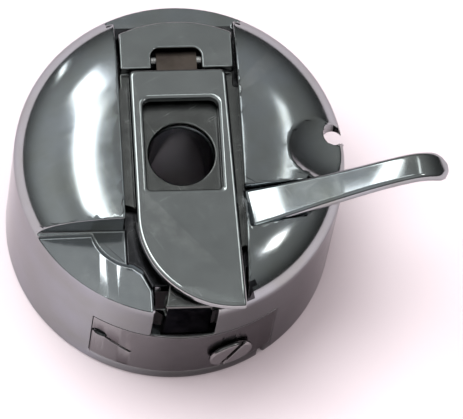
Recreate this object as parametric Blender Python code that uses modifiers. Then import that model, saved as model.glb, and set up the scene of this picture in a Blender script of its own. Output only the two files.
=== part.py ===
# Bobbin case of an oscillating-hook sewing machine, standing on its open rim.
# +Z runs along the case axis, +Y to the hinge end of the latch, +X to the position finger.
import math

import bmesh
import bpy
from mathutils import Matrix, Vector

MM = 0.001

# driving dimensions, in millimetres
OUTER_R = 11.5          # outside of the cup
INNER_R = 10.6          # room for a bobbin 20.3 across
CAVITY_DEPTH = 11.8     # room for a bobbin 11.7 wide
CHANNEL_FLOOR = 12.85   # top of the front plate inside the latch channel
CHANNEL_HALF = 4.15
SHOULDER_Z = 12.0       # where the straight wall turns into the dome
SHOULDER_R = 3.2        # width of the dome's rounded shoulder in plan
DOME_TOP = 14.9
CROWN_TOP = 15.15
FIT = 0.05              # running clearance between neighbouring pieces
HOLE_PLAY = 0.03        # a pin's hole is this much larger in radius
TUBE_OUTER_R = 2.9
TUBE_BORE_R = 2.3       # hook stud of 4.5 diameter
TUBE_START_Z = 0.8

FINGER_REACH = 18.45
FINGER_ANGLE = math.radians(9.5)
FINGER_THICK = 1.0
FINGER_ROOT_X = 4.3
FINGER_ROOT_Y = -4.45
FINGER_ROOT_WIDTH = 2.85
FINGER_TIP_WIDTH = 2.1
RIVET_R = 0.5
RIVET_X = {"front": 5.6, "rear": 7.4}

PLATE_BOTTOM = CHANNEL_FLOOR + FIT
PLATE_TOP = PLATE_BOTTOM + 0.65
HEAD_TOP = 14.4
HEAD_HALF = 4.0
HEAD_START_Y = 6.1
HEAD_ARC_R = 9.6
GUIDE_HALF = 4.5
GUIDE_FRONT_Y = -8.2
GUIDE_REAR_Y = 9.7
MOUTH_HALF = 4.7        # the channel widens where the head stands
MOUTH_START_Y = 9.9

PIN_Y = 6.9
PIN_Z = 13.75
PIN_R = 0.35
KNUCKLE_R = 0.62
KNUCKLE_HALF = 1.4
HEEL_R = 0.83

LEVER_BOTTOM = 14.0
LEVER_TOP = 14.75
LEVER_HINGE_Y = 5.9
LEVER_LEFT_X = -3.4
LEVER_RIGHT_X = 3.4
LEVER_CORNER_R = 0.5
LEVER_TIP_Y = -11.75
LEVER_TIP_X = 3.9
LEVER_ARC_R = 7.2
WINDOW_X = 0.08
WINDOW_HALF = 2.6
WINDOW_LOW_Y = -3.1
WINDOW_HIGH_Y = 3.7

NOSE_LEFT = -1.3
NOSE_RIGHT = 2.0
NOSE_END_Z = 8.4
NOSE_OUTER_Y = -11.3
NOSE_THICK = 0.7
NOSE_GAP = 0.25

STEP_Y = -5.2           # the left lobe ends here in a step
STEP_Z = 12.5
POCKET_RIM_R = 11.1
POCKET_FLOOR = 12.15

SCOOP_R = 3.1           # thumb scoop, a ball's print beside the finger
SCOOP_CENTRE = (10.3, -0.1, 15.6)
SCOOP_HOLE_R = 0.75
SCOOP_HOLE_AT_R = 10.55
SCOOP_HOLE_DEG = 6
WALL_WINDOW_Y = (-0.3, 5.0)
WALL_WINDOW_Z = (3.4, 11.9)

BOSS_HALF = 1.2
BOSS_Y = (6.1, 6.45)
BOSS_TOP = 13.2

STOP_PIN_Y = -4.85
STOP_PIN_R = 0.45
SPRING_END_Y = -8.57
SPRING_COIL_R = 0.42
SPRING_WIRE_R = 0.1
SPRING_TURNS = 6

LEAF_INNER_R = 11.28
LEAF_THICK = 0.25
LEAF_LEFT_DEG = -122.5
LEAF_RIGHT_DEG = -55.0
LEAF_BOTTOM_Z = 1.4
LEAF_TOP_Z = 7.9
EYE_DEG = -119.5
EYE_Z = 5.6
EYE_R = 0.55
EYE_SLIT = 0.32
EYE_TAIL_DEG = -107.5
EYE_TAIL_Z = 4.1
SCREW_DEG = -72.5
SCREW_Z = 4.1
SCREW_HEAD_R = 1.6
SCREW_SHANK_R = 0.6
SCREW_HEAD_THICK = 0.5
SLOT_WIDTH = 0.42
SLOT_TURN = -27         # degrees from upright

# the case axis stands so that the whole object is centred on the origin
AXIS_X = (OUTER_R - FINGER_REACH) / 2
SCREW_BASE_R = LEAF_INNER_R + LEAF_THICK + FIT
SCREW_FACE_R = SCREW_BASE_R + SCREW_HEAD_THICK
SCREW_OVERHANG = (SCREW_FACE_R * math.sin(math.radians(-SCREW_DEG))
                  + SCREW_HEAD_R * math.cos(math.radians(SCREW_DEG)))
AXIS_Y = (SCREW_OVERHANG - OUTER_R) / 2

for old in list(bpy.data.objects):
    bpy.data.objects.remove(old, do_unlink=True)

parts = bpy.data.collections.new("bobbin_case")
cutters = bpy.data.collections.new("cutters")
bpy.context.scene.collection.children.link(parts)
bpy.context.scene.collection.children.link(cutters)


def metal(name, colour, roughness):
    mat = bpy.data.materials.new(name)
    mat.use_nodes = True
    shader = mat.node_tree.nodes["Principled BSDF"]
    shader.inputs["Base Color"].default_value = (*colour, 1)
    shader.inputs["Roughness"].default_value = roughness
    shader.inputs["Metallic"].default_value = 1
    return mat


def place(obj, collection):
    for owner in list(obj.users_collection):
        owner.objects.unlink(obj)
    collection.objects.link(obj)
    return obj


def part(obj, name, mat, origin=None):
    """Names a piece, gives it its material and puts its origin at a point of the case."""
    obj.name = name
    obj.data.name = name
    obj.data.materials.clear()
    obj.data.materials.append(mat)
    obj.data.shade_smooth()
    obj.data.set_sharp_from_angle(angle=math.radians(30))
    if origin is not None:
        point = at(*origin)
        obj.data.transform(Matrix.Translation(-point) @ obj.matrix_world)
        obj.matrix_world = Matrix.Translation(point)
    return place(obj, parts)


def cutter(obj, name):
    obj.name = name
    obj.hide_render = True
    obj.display_type = "WIRE"
    return place(obj, cutters)


def at(x, y, z):
    """A point given from the case axis, in millimetres, as a world position."""
    return Vector((x + AXIS_X, y + AXIS_Y, z)) * MM


def boolean(target, other, operation="DIFFERENCE"):
    modifier = target.modifiers.new(other.name, "BOOLEAN")
    modifier.operation = operation
    modifier.object = other
    modifier.solver = "EXACT"


def join(target, other, name):
    """Unites a helper solid with a piece."""
    boolean(target, cutter(other, name), "UNION")


def cut(target, other, name):
    boolean(target, cutter(other, name))


def box(low, high):
    bpy.ops.mesh.primitive_cube_add(size=1)
    obj = bpy.context.object
    size = [(b - a) * MM for a, b in zip(low, high)]
    centre = at(*[(a + b) / 2 for a, b in zip(low, high)])
    obj.data.transform(Matrix.Translation(centre) @ Matrix.Diagonal((*size, 1)))
    return obj


def cylinder(radius, start, end, sides=32):
    """A cylinder between two points of the case."""
    first, last = at(*start), at(*end)
    run = last - first
    bpy.ops.mesh.primitive_cylinder_add(vertices=sides, radius=radius * MM, depth=run.length)
    obj = bpy.context.object
    turn = run.to_track_quat("Z", "Y").to_matrix().to_4x4()
    obj.data.transform(Matrix.Translation((first + last) / 2) @ turn)
    return obj


def bevel(obj, width, segments=2, angle=40):
    modifier = obj.modifiers.new("edge", "BEVEL")
    modifier.width = width * MM
    modifier.segments = segments
    modifier.limit_method = "ANGLE"
    modifier.angle_limit = math.radians(angle)


def revolve(points, steps, angle=360.0, start=0.0, closed=True):
    """A profile of (radius, height) points turned round the case axis."""
    mesh = bpy.data.meshes.new("profile")
    form = bmesh.new()
    verts = [form.verts.new((r * MM, 0, z * MM)) for r, z in points]
    for first, second in zip(verts, verts[1:]):
        form.edges.new((first, second))
    if closed:
        form.edges.new((verts[-1], verts[0]))
    form.to_mesh(mesh)
    form.free()
    obj = bpy.data.objects.new("turned", mesh)
    obj.location = at(0, 0, 0)
    obj.rotation_euler = (0, 0, math.radians(start))
    bpy.context.scene.collection.objects.link(obj)
    screw = obj.modifiers.new("turn", "SCREW")
    screw.angle = math.radians(angle)
    screw.steps = steps
    screw.render_steps = steps
    screw.use_merge_vertices = True
    screw.merge_threshold = 0.000001
    return obj


def to_mesh(obj):
    """Turns a curve into a welded mesh object in the same place."""
    bpy.context.view_layer.update()
    graph = bpy.context.evaluated_depsgraph_get()
    mesh = bpy.data.meshes.new_from_object(obj.evaluated_get(graph))
    form = bmesh.new()
    form.from_mesh(mesh)
    bmesh.ops.remove_doubles(form, verts=form.verts, dist=0.000001)
    form.to_mesh(mesh)
    form.free()
    made = bpy.data.objects.new("from_curve", mesh)
    made.matrix_world = obj.matrix_world.copy()
    bpy.context.scene.collection.objects.link(made)
    bpy.data.objects.remove(obj, do_unlink=True)
    return made


def slab(outline, bottom, top):
    """A flat outline of (x, y) points with thickness from bottom to top."""
    curve = bpy.data.curves.new("outline", "CURVE")
    curve.dimensions = "2D"
    curve.fill_mode = "BOTH"
    curve.extrude = (top - bottom) / 2 * MM
    spline = curve.splines.new("POLY")
    spline.points.add(len(outline) - 1)
    for point, (x, y) in zip(spline.points, outline):
        point.co = (x * MM, y * MM, 0, 1)
    spline.use_cyclic_u = True
    obj = bpy.data.objects.new("slab", curve)
    obj.location = at(0, 0, (bottom + top) / 2)
    bpy.context.scene.collection.objects.link(obj)
    return to_mesh(obj)


def arc(centre, radius, start, end, count):
    """Points on an arc, angles in degrees."""
    steps = [math.radians(start + (end - start) * i / count) for i in range(count + 1)]
    return [(centre[0] + radius * math.cos(a), centre[1] + radius * math.sin(a)) for a in steps]


def sector(inner, outer, start, end, count):
    """Plan of a piece of a ring."""
    return arc((0, 0), outer, start, end, count) + arc((0, 0), inner, end, start, count)


def around(radius, degrees, z):
    """A point given by its radius, its angle round the case and its height."""
    turn = math.radians(degrees)
    return (radius * math.cos(turn), radius * math.sin(turn), z)


def dome_profile():
    """Section of the cup from the top of the wall over the dome to the centre hole."""
    crown_r = OUTER_R - SHOULDER_R
    rise = DOME_TOP - SHOULDER_Z
    dome = []
    for i in range(9):
        turn = math.radians(90 - i * 90 / 8)
        dome.append((crown_r + SHOULDER_R * math.cos(turn), SHOULDER_Z + rise * math.sin(turn)))
    hole = TUBE_OUTER_R + FIT
    crown = [(hole, CROWN_TOP), (5.6, CROWN_TOP - 0.04)]
    rim = [(OUTER_R, 0.15), (OUTER_R - 0.15, 0), (INNER_R + 0.15, 0), (INNER_R, 0.15)]
    inside = [(INNER_R, CAVITY_DEPTH - 0.3), (INNER_R - 0.3, CAVITY_DEPTH), (hole, CAVITY_DEPTH)]
    return crown + dome + rim + inside


def finger_height(x):
    """Height of the finger's top face at a distance from the case axis."""
    run = (x - FINGER_ROOT_X) / (FINGER_REACH - FINGER_ROOT_X)
    rise = 14.55 + 3.55 * run - 1.35 * run * run
    curl = max(0.0, run - 0.8) / 0.2
    return rise - 1.0 * curl * curl


def finger_solid(gap=0.0, headroom=0.0):
    """The finger, or with a gap and headroom the groove that its root lies in."""
    count = 22
    length = FINGER_REACH - FINGER_ROOT_X
    xs = [FINGER_ROOT_X - gap + (length + gap) * i / count for i in range(count + 1)]
    top = [(x, finger_height(x) + headroom) for x in xs]
    bottom = [(x, finger_height(x) - FINGER_THICK - gap) for x in xs]
    obj = slab(top + bottom[::-1], -0.5, 0.5)
    # stand the side outline up, give it its tapering width and turn it to its angle
    obj.data.transform(Matrix.Translation(obj.location))
    obj.location = (0, 0, 0)
    base = at(0, 0, 0)
    for vert in obj.data.vertices:
        x, height, side = (vert.co - base) / MM
        run = (x - FINGER_ROOT_X) / length
        width = FINGER_ROOT_WIDTH + (FINGER_TIP_WIDTH - FINGER_ROOT_WIDTH) * run + 2 * gap
        # the free end is rounded in plan
        end = max(0.0, (x - FINGER_REACH + 0.9) / 0.9)
        width *= math.sqrt(max(0.0, 1 - 0.82 * end * end))
        along = x - FINGER_ROOT_X
        across = -side * width
        vert.co = at(
            FINGER_ROOT_X + along * math.cos(FINGER_ANGLE) - across * math.sin(FINGER_ANGLE),
            FINGER_ROOT_Y + along * math.sin(FINGER_ANGLE) + across * math.cos(FINGER_ANGLE),
            height,
        )
    return obj


def lever_outline():
    """Plan of the latch lever, one big arc at its lower left."""
    centre = (LEVER_LEFT_X + LEVER_ARC_R, LEVER_TIP_Y + LEVER_ARC_R)
    corner = LEVER_CORNER_R
    points = arc((LEVER_RIGHT_X - corner, LEVER_HINGE_Y - corner), corner, 0, 90, 4)
    points += arc((LEVER_LEFT_X + corner, LEVER_HINGE_Y - corner), corner, 90, 180, 4)
    points += arc(centre, LEVER_ARC_R, 180, 268, 20)
    points.append((LEVER_TIP_X, LEVER_TIP_Y))
    return points


def window_outline():
    wide, narrow = 0.6, 0.3
    left, right = WINDOW_X - WINDOW_HALF, WINDOW_X + WINDOW_HALF
    points = arc((right - wide, WINDOW_HIGH_Y - wide), wide, 0, 90, 5)
    points += arc((left + wide, WINDOW_HIGH_Y - wide), wide, 90, 180, 5)
    points += arc((left + narrow, WINDOW_LOW_Y + narrow), narrow, 180, 270, 3)
    points += arc((right - narrow, WINDOW_LOW_Y + narrow), narrow, 270, 360, 3)
    return points


def case_body():
    body = revolve(dome_profile(), 96)
    far = OUTER_R + 1
    cut(body, box((-CHANNEL_HALF, -far, CHANNEL_FLOOR), (CHANNEL_HALF, far, 17)), "channel_cut")
    cut(body, box((-MOUTH_HALF, MOUTH_START_Y, CHANNEL_FLOOR), (MOUTH_HALF, far, 17)), "channel_mouth_cut")
    groove_top = PLATE_TOP + FIT
    groove_half = GUIDE_HALF + 2 * FIT
    groove = box((-groove_half, GUIDE_FRONT_Y, CHANNEL_FLOOR), (groove_half, GUIDE_REAR_Y, groove_top))
    cut(body, groove, "guide_groove_cut")
    # lower left corner: the lobe stops at a step, and a shallow pocket follows the wall
    cut(body, box((-far, -far, STEP_Z), (-CHANNEL_HALF + 0.1, STEP_Y, 17)), "corner_step_cut")
    pocket = arc((0, 0), POCKET_RIM_R, -150.5, -101, 14)
    pocket += [(-2.1, -9.6), (-4.15, -8.3), (-5.5, -7.3), (-6.5, -6.2), (-6.8, -5.35)]
    cut(body, slab(pocket, POCKET_FLOOR, 14), "pocket_cut")
    notch_left, notch_right = NOSE_LEFT - 3 * NOSE_GAP, NOSE_RIGHT + NOSE_GAP
    cut(body, box((notch_left, -far, NOSE_END_Z - NOSE_GAP), (notch_right, -9.6, 14)), "nose_notch_cut")
    # thumb scoop beside the finger, its through hole and the window in the wall below it
    centre = at(*SCOOP_CENTRE)
    bpy.ops.mesh.primitive_uv_sphere_add(segments=28, ring_count=14, radius=SCOOP_R * MM, location=centre)
    cut(body, bpy.context.object, "scoop_cut")
    low, high = [around(SCOOP_HOLE_AT_R, SCOOP_HOLE_DEG, z) for z in (11, 14)]
    hole = cylinder(SCOOP_HOLE_R, low, high, 20)
    cut(body, hole, "scoop_hole_cut")
    (front, rear), (bottom, top) = WALL_WINDOW_Y, WALL_WINDOW_Z
    cut(body, box((9.5, front, bottom), (far, rear, top)), "wall_window_cut")
    cut(body, finger_solid(FIT, 4.0), "finger_groove_cut")
    # seat of the tension spring, its screw hole and the thread slit under it
    seat = sector(LEAF_INNER_R - 0.03, far, LEAF_LEFT_DEG - 0.3, LEAF_RIGHT_DEG + 0.3, 28)
    cut(body, slab(seat, LEAF_BOTTOM_Z - FIT, LEAF_TOP_Z + FIT), "spring_seat_cut")
    inner_end, outer_end = [around(r, SCREW_DEG, SCREW_Z) for r in (10, far)]
    screw_hole = cylinder(SCREW_SHANK_R + FIT, inner_end, outer_end, 20)
    cut(body, screw_hole, "screw_hole_cut")
    slit = sector(10, far, LEAF_RIGHT_DEG - 5, LEAF_RIGHT_DEG - 2.6, 2)
    cut(body, slab(slit, -1, 5), "thread_slit_cut")
    pin_hole = cylinder(STOP_PIN_R + HOLE_PLAY, (0, STOP_PIN_Y, 11), (0, STOP_PIN_Y, 14), 20)
    cut(body, pin_hole, "stop_pin_hole_cut")
    for name, x in RIVET_X.items():
        rivet_hole = cylinder(RIVET_R + HOLE_PLAY, rivet_point(x, 11), rivet_point(x, 14.2), 16)
        cut(body, rivet_hole, "rivet_hole_cut_" + name)
    # boss that the lever's heel pushes against
    join(body, box((-BOSS_HALF, BOSS_Y[0], 12.5), (BOSS_HALF, BOSS_Y[1], BOSS_TOP)), "cam_boss")
    return body


def rivet_point(x, z):
    """A point under the finger's middle line."""
    along = x - FINGER_ROOT_X
    y = FINGER_ROOT_Y + along * math.sin(FINGER_ANGLE)
    return (FINGER_ROOT_X + along * math.cos(FINGER_ANGLE), y, z)


def centre_tube():
    top = CHANNEL_FLOOR - 0.02
    points = [
        (TUBE_OUTER_R, top - 0.1), (TUBE_OUTER_R, TUBE_START_Z + 0.3), (TUBE_OUTER_R - 0.3, TUBE_START_Z),
        (TUBE_BORE_R, TUBE_START_Z), (TUBE_BORE_R, top), (TUBE_OUTER_R - 0.1, top),
    ]
    return revolve(points, 48)


def latch_slide():
    half = CHANNEL_HALF - 0.2
    plate = [(half, 8.6)]
    plate += arc((0, 0), HEAD_ARC_R, 90 - 24.3, 90 + 24.3, 10)
    plate += [(-half, 8.6), (-half, 5.0), (-GUIDE_HALF, 5.0), (-GUIDE_HALF, -3.6), (-3.2, -4.0)]
    plate += arc((3.8, -4.55), 7.0, 180, 224, 8)
    plate += [(NOSE_LEFT, NOSE_OUTER_Y), (NOSE_RIGHT, NOSE_OUTER_Y), (NOSE_RIGHT, -9.4), (half, -9.0)]
    plate += [(half, -7.0), (GUIDE_HALF, -7.0), (GUIDE_HALF, 5.0), (half, 5.0)]
    slide = slab(plate, PLATE_BOTTOM, PLATE_TOP)
    head = [(HEAD_HALF - 0.05, HEAD_START_Y)]
    head += arc((0, 0), HEAD_ARC_R, 90 - 24.2, 90 + 24.2, 10)
    head += [(-HEAD_HALF + 0.05, HEAD_START_Y)]
    join(slide, slab(head, PLATE_TOP - 0.2, HEAD_TOP), "slide_head")
    nose_inner_y = NOSE_OUTER_Y + NOSE_THICK
    nose = box((NOSE_LEFT, NOSE_OUTER_Y, NOSE_END_Z), (NOSE_RIGHT, nose_inner_y, PLATE_TOP - 0.1))
    bevel(nose, 0.25)
    join(slide, nose, "slide_nose")
    cut(slide, cylinder(TUBE_BORE_R, (0.06, 0, 12), (0.06, 0, 15), 48), "stud_aperture_cut")
    notch = [(1.75, 5.2), (1.7, 7.25), (1.4, 7.64), (-1.4, 7.64), (-1.7, 7.25), (-1.75, 5.2)]
    cut(slide, slab(notch, 12, 15), "knuckle_notch_cut")
    chamfer = box((-4.5, -0.12, -0.12), (4.5, 0.12, 0.12))
    turn = Matrix.Rotation(math.radians(45), 4, "X")
    base = at(0, 0, 0)
    edge = at(0, HEAD_START_Y, HEAD_TOP)
    chamfer.data.transform(Matrix.Translation(edge) @ turn @ Matrix.Translation(-base))
    cut(slide, chamfer, "head_edge_cut")
    slot_end = STOP_PIN_Y + STOP_PIN_R + HOLE_PLAY
    cut(slide, box((-0.65, SPRING_END_Y - HOLE_PLAY, 12), (0.65, slot_end, 15)), "spring_slot_cut")
    cut(slide, cylinder(PIN_R + HOLE_PLAY, (-5, PIN_Y, PIN_Z), (5, PIN_Y, PIN_Z), 24), "hinge_hole_cut")
    return slide


def latch_lever():
    lever = slab(lever_outline(), LEVER_BOTTOM, LEVER_TOP)
    cut(lever, slab(window_outline(), 13, 16), "lever_window_cut")
    tongue = box((-KNUCKLE_HALF, LEVER_HINGE_Y - 0.4, 13.78), (KNUCKLE_HALF, PIN_Y, PIN_Z + KNUCKLE_R))
    join(lever, tongue, "lever_tongue")
    knuckle = cylinder(KNUCKLE_R, (-KNUCKLE_HALF, PIN_Y, PIN_Z), (KNUCKLE_HALF, PIN_Y, PIN_Z), 28)
    join(lever, knuckle, "lever_knuckle")
    heel = box((-1.0, PIN_Y - 0.32, PIN_Z - HEEL_R + 0.05), (1.0, PIN_Y + 0.32, PIN_Z))
    join(lever, heel, "lever_heel")
    cut(lever, cylinder(PIN_R + HOLE_PLAY, (-5, PIN_Y, PIN_Z), (5, PIN_Y, PIN_Z), 24), "lever_hole_cut")
    return lever


def latch_hinge_pin():
    half = HEAD_HALF - 0.25
    pin = cylinder(PIN_R, (-half, PIN_Y, PIN_Z), (half, PIN_Y, PIN_Z), 24)
    bevel(pin, 0.08, 1)
    return pin


def slide_stop_pin():
    pin = cylinder(STOP_PIN_R, (0, STOP_PIN_Y, CAVITY_DEPTH + 0.05), (0, STOP_PIN_Y, 13.85), 24)
    bevel(pin, 0.08, 1)
    return pin


def latch_spring():
    """Compression coil lying along the slide's slot."""
    first = STOP_PIN_Y - STOP_PIN_R - SPRING_WIRE_R - HOLE_PLAY
    last = SPRING_END_Y + SPRING_WIRE_R + HOLE_PLAY
    centre_z = PLATE_BOTTOM + SPRING_COIL_R + SPRING_WIRE_R + 0.02
    count = SPRING_TURNS * 12
    curve = bpy.data.curves.new("coil", "CURVE")
    curve.dimensions = "3D"
    curve.bevel_depth = SPRING_WIRE_R * MM
    curve.bevel_resolution = 2
    curve.use_fill_caps = True
    spline = curve.splines.new("POLY")
    spline.points.add(count)
    for i, point in enumerate(spline.points):
        turn = 2 * math.pi * i / 12
        y = first + (last - first) * i / count
        point.co = (*at(SPRING_COIL_R * math.cos(turn), y, centre_z + SPRING_COIL_R * math.sin(turn)), 1)
    obj = bpy.data.objects.new("coil", curve)
    bpy.context.scene.collection.objects.link(obj)
    return to_mesh(obj)


def tension_spring():
    """Thin bent leaf on the wall, with its delivery eye at the left."""
    span = LEAF_RIGHT_DEG - LEAF_LEFT_DEG
    edge = [(LEAF_INNER_R, LEAF_TOP_Z), (LEAF_INNER_R, LEAF_BOTTOM_Z)]
    leaf = revolve(edge, 28, span, LEAF_LEFT_DEG, closed=False)
    wall = leaf.modifiers.new("thickness", "SOLIDIFY")
    wall.thickness = LEAF_THICK * MM
    wall.offset = 1
    eye = cylinder(EYE_R, around(10.8, EYE_DEG, EYE_Z), around(12.5, EYE_DEG, EYE_Z), 20)
    cut(leaf, eye, "eye_cut")
    # the slit runs from the eye towards the screw
    middle = at(*around(11.4, (EYE_DEG + EYE_TAIL_DEG) / 2, (EYE_Z + EYE_TAIL_Z) / 2))
    run = at(*around(11.4, EYE_TAIL_DEG, EYE_TAIL_Z)) - at(*around(11.4, EYE_DEG, EYE_Z))
    bpy.ops.mesh.primitive_cube_add(size=1)
    slit = bpy.context.object
    turn = run.to_track_quat("X", "Z").to_matrix().to_4x4()
    size = Matrix.Diagonal((run.length, 1.6 * MM, EYE_SLIT * MM, 1))
    slit.data.transform(Matrix.Translation(middle) @ turn @ size)
    cut(leaf, slit, "eye_slit_cut")
    inner_end, outer_end = [around(r, SCREW_DEG, SCREW_Z) for r in (10.8, 12.5)]
    cut(leaf, cylinder(SCREW_SHANK_R + 0.1, inner_end, outer_end, 20), "leaf_screw_hole_cut")
    return leaf


def tension_adjusting_screw():
    under, face = [around(r, SCREW_DEG, SCREW_Z) for r in (SCREW_BASE_R, SCREW_FACE_R)]
    head = cylinder(SCREW_HEAD_R, under, face, 40)
    bevel(head, 0.14, 2)
    inner_end, outer_end = [around(r, SCREW_DEG, SCREW_Z) for r in (10.7, SCREW_BASE_R + 0.2)]
    shank = cylinder(SCREW_SHANK_R, inner_end, outer_end, 24)
    join(head, shank, "screw_shank")
    bpy.ops.mesh.primitive_cube_add(size=1)
    slot = bpy.context.object
    turn = Matrix.Rotation(math.radians(SCREW_DEG), 4, "Z") @ Matrix.Rotation(math.radians(SLOT_TURN), 4, "X")
    size = Matrix.Diagonal((0.6 * MM, SLOT_WIDTH * MM, 4 * MM, 1))
    slot.data.transform(Matrix.Translation(at(*face)) @ turn @ size)
    cut(head, slot, "screw_slot_cut")
    return head


def finger_rivet(x):
    top = finger_height(x) - FINGER_THICK - 2 * FIT
    rivet = cylinder(RIVET_R, rivet_point(x, CAVITY_DEPTH + FIT), rivet_point(x, top), 20)
    bevel(rivet, 0.06, 1)
    return rivet


plated = metal("plated_steel", (0.30, 0.31, 0.32), 0.16)
blued = metal("latch_steel", (0.33, 0.35, 0.35), 0.14)
bright = metal("bright_steel", (0.52, 0.53, 0.54), 0.2)
spring_steel = metal("spring_steel", (0.36, 0.36, 0.38), 0.25)

part(case_body(), "case_body", plated)
part(centre_tube(), "centre_tube", plated)
part(finger_solid(), "position_finger", plated)
for end, distance in RIVET_X.items():
    part(finger_rivet(distance), "finger_rivet_" + end, bright)
part(latch_slide(), "latch_slide", blued, (0, 0, PLATE_BOTTOM))
part(latch_lever(), "latch_lever", blued, (0, PIN_Y, PIN_Z))
part(latch_hinge_pin(), "latch_hinge_pin", bright, (0, PIN_Y, PIN_Z))
part(slide_stop_pin(), "slide_stop_pin", bright)
part(latch_spring(), "latch_spring", spring_steel)
part(tension_spring(), "tension_spring", spring_steel)
part(tension_adjusting_screw(), "tension_adjusting_screw", bright, around(LEAF_INNER_R, SCREW_DEG, SCREW_Z))
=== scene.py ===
import math

import bmesh
import bpy
from mathutils import Matrix, Vector


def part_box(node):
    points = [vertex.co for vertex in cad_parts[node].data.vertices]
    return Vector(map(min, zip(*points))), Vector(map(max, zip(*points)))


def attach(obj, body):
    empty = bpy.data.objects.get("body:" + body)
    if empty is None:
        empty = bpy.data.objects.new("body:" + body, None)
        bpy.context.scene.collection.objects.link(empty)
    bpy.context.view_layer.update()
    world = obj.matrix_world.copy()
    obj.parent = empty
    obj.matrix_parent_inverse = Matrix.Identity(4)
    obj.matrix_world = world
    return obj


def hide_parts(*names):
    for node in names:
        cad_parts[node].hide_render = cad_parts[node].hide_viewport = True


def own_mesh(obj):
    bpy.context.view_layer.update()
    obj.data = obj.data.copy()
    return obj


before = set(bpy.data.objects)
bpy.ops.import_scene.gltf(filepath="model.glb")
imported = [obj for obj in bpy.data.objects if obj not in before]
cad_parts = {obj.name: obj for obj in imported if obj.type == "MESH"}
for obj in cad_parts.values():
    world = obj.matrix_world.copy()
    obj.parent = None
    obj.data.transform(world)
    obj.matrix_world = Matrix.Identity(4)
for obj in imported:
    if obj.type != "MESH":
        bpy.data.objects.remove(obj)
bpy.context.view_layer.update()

# A round metal bobbin case standing on its open rim.
# Sizes are in millimetres from the case's own axis, and place() turns them into the frame's metres.
mm = 0.001
tubeLow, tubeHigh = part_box("centre_tube")
cupLow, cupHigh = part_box("case_body")
axisX = (tubeLow.x + tubeHigh.x) / 2
axisY = (tubeLow.y + tubeHigh.y) / 2
cupRadius = (cupHigh.y - cupLow.y) / 2 / mm
cupTop = cupHigh.z / mm


def place(x, y, z):
    return Vector((axisX + x * mm, axisY + y * mm, z * mm))


def around(radius, degrees, z):
    turn = math.radians(degrees)
    return (radius * math.cos(turn), radius * math.sin(turn), z)


def arcPoints(centre, radius, start, end, count):
    turns = [math.radians(start + (end - start) * i / count) for i in range(count + 1)]
    return [(centre[0] + radius * math.cos(t), centre[1] + radius * math.sin(t)) for t in turns]


# ---- small modelling steps, the way they are done by hand

def deselectAll():
    if bpy.context.mode != "OBJECT":
        bpy.ops.object.mode_set(mode="OBJECT")
    bpy.ops.object.select_all(action="DESELECT")


def edit(piece, everything=True):
    deselectAll()
    piece.select_set(True)
    bpy.context.view_layer.objects.active = piece
    bpy.ops.object.mode_set(mode="EDIT")
    bpy.ops.mesh.select_mode(type="VERT")
    bpy.ops.mesh.select_all(action="SELECT" if everything else "DESELECT")


def leaveEdit():
    bpy.ops.object.mode_set(mode="OBJECT")
    return bpy.context.object


def freeze(name):
    # the place, turn and size of the new primitive go into its mesh
    piece = bpy.context.object
    piece.name = name
    piece.data.name = name
    bpy.ops.object.transform_apply(location=True, rotation=True, scale=True)
    return piece


def addBox(name, low, high):
    deselectAll()
    size = [(b - a) * mm for a, b in zip(low, high)]
    middle = place(*[(a + b) / 2 for a, b in zip(low, high)])
    bpy.ops.mesh.primitive_cube_add(size=1, location=middle, scale=size)
    return freeze(name)


def addRod(name, radius, start, end, sides=64):
    deselectAll()
    first, last = place(*start), place(*end)
    run = last - first
    turn = run.to_track_quat("Z", "Y").to_euler()
    bpy.ops.mesh.primitive_cylinder_add(vertices=sides, radius=radius * mm, depth=run.length,
                                        location=(first + last) / 2, rotation=turn)
    return freeze(name)


def addPath(name, points):
    # one corner of a plane is dragged out into a chain of edges
    deselectAll()
    bpy.ops.mesh.primitive_plane_add(size=mm, location=place(*points[0]))
    piece = freeze(name)
    edit(piece)
    bpy.ops.mesh.merge(type="CENTER")
    for before, after in zip(points, points[1:]):
        step = place(*after) - place(*before)
        bpy.ops.mesh.extrude_region_move(TRANSFORM_OT_translate={"value": step})
    return leaveEdit()


def addSlab(name, outline, bottom, top):
    piece = addPath(name, [(x, y, bottom) for x, y in outline])
    edit(piece)
    bpy.ops.mesh.edge_face_add()
    bpy.ops.mesh.extrude_region_move(TRANSFORM_OT_translate={"value": (0, 0, (top - bottom) * mm)})
    bpy.ops.mesh.select_all(action="SELECT")
    bpy.ops.mesh.normals_make_consistent(inside=False)
    return leaveEdit()


def spinRound(piece, steps, degrees=360):
    edit(piece)
    # a positive angle would turn clockwise here
    bpy.ops.mesh.spin(steps=steps, angle=-math.radians(degrees), center=place(0, 0, 0), axis=(0, 0, 1))
    bpy.ops.mesh.select_all(action="SELECT")
    bpy.ops.mesh.remove_doubles(threshold=0.002 * mm)
    bpy.ops.mesh.normals_make_consistent(inside=False)
    return leaveEdit()


def applyAll(piece):
    deselectAll()
    piece.select_set(True)
    bpy.context.view_layer.objects.active = piece
    for modifier in list(piece.modifiers):
        bpy.ops.object.modifier_apply(modifier=modifier.name)
    return piece


def combine(piece, tool, operation="DIFFERENCE"):
    step = piece.modifiers.new(tool.name, "BOOLEAN")
    step.operation = operation
    step.object = tool
    step.solver = "EXACT"
    applyAll(piece)
    bpy.data.objects.remove(tool, do_unlink=True)
    return piece


def pickEdges(piece, wanted):
    # selects the edges whose two ends both pass the test, given in millimetres from the case axis
    edit(piece, everything=False)
    bpy.ops.mesh.select_mode(type="EDGE")
    leaveEdit()
    inside = []
    for vert in piece.data.vertices:
        spot = (vert.co - place(0, 0, 0)) / mm
        inside.append(bool(wanted(spot)))
    for edge in piece.data.edges:
        edge.select = inside[edge.vertices[0]] and inside[edge.vertices[1]]
    bpy.ops.object.mode_set(mode="EDIT")


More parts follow.
